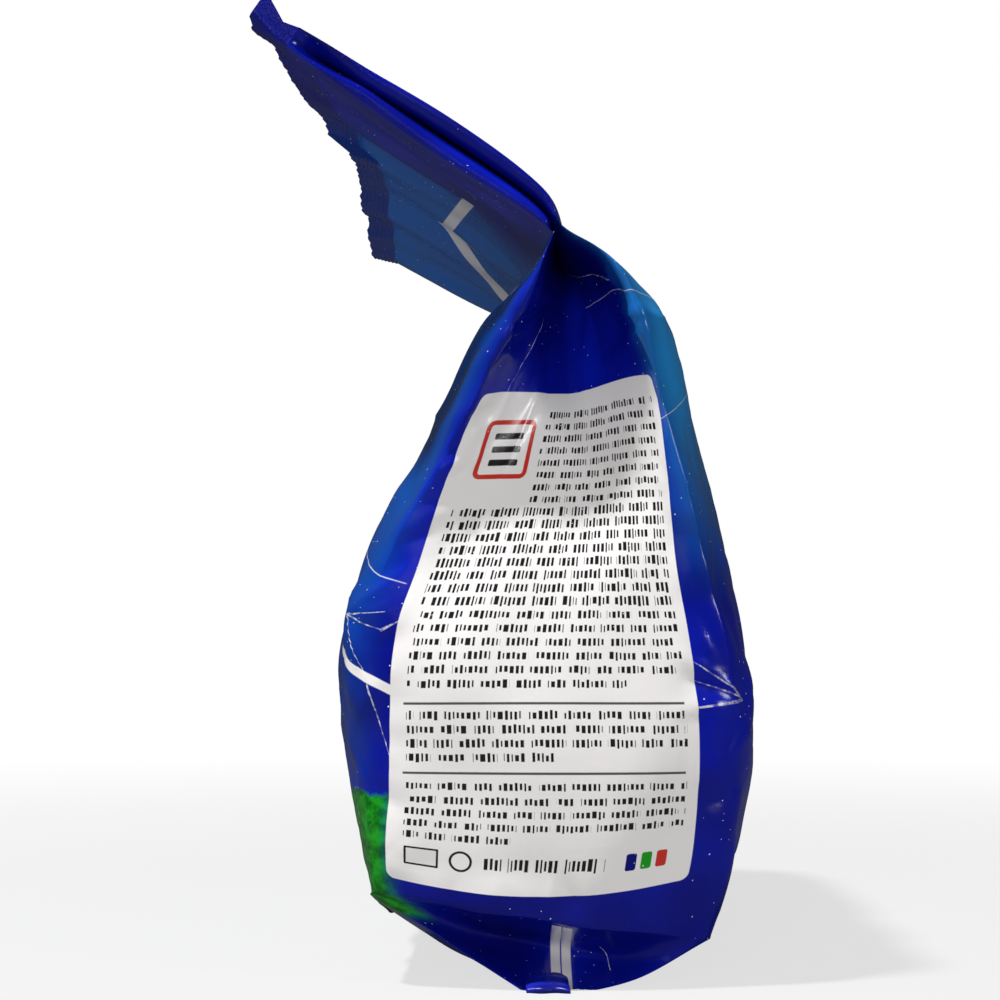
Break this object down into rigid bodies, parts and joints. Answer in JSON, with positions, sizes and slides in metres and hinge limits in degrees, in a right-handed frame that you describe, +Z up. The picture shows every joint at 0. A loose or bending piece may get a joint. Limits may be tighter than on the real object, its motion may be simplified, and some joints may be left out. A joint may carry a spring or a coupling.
{
  "type": "laundry powder bag",
  "caption": "Sealed side-gusset film bag filled with laundry powder, standing on its flattened bottom, its empty top pinched and bent over as a crimped flap.",
  "frame": {"origin": "middle of the bottom seal, on the floor that the bag stands on", "axes": "+X from the front panel to the back panel, +Y along the seals from the near gusset to the far one, +Z up"},
  "size_m": [0.0882, 0.1456, 0.1666],
  "materials": {
    "printed_film": "glossy printed plastic film"
  },
  "bodies": {
    "root": {"powder_bag": "printed_film"}
  },
  "joints": []
}
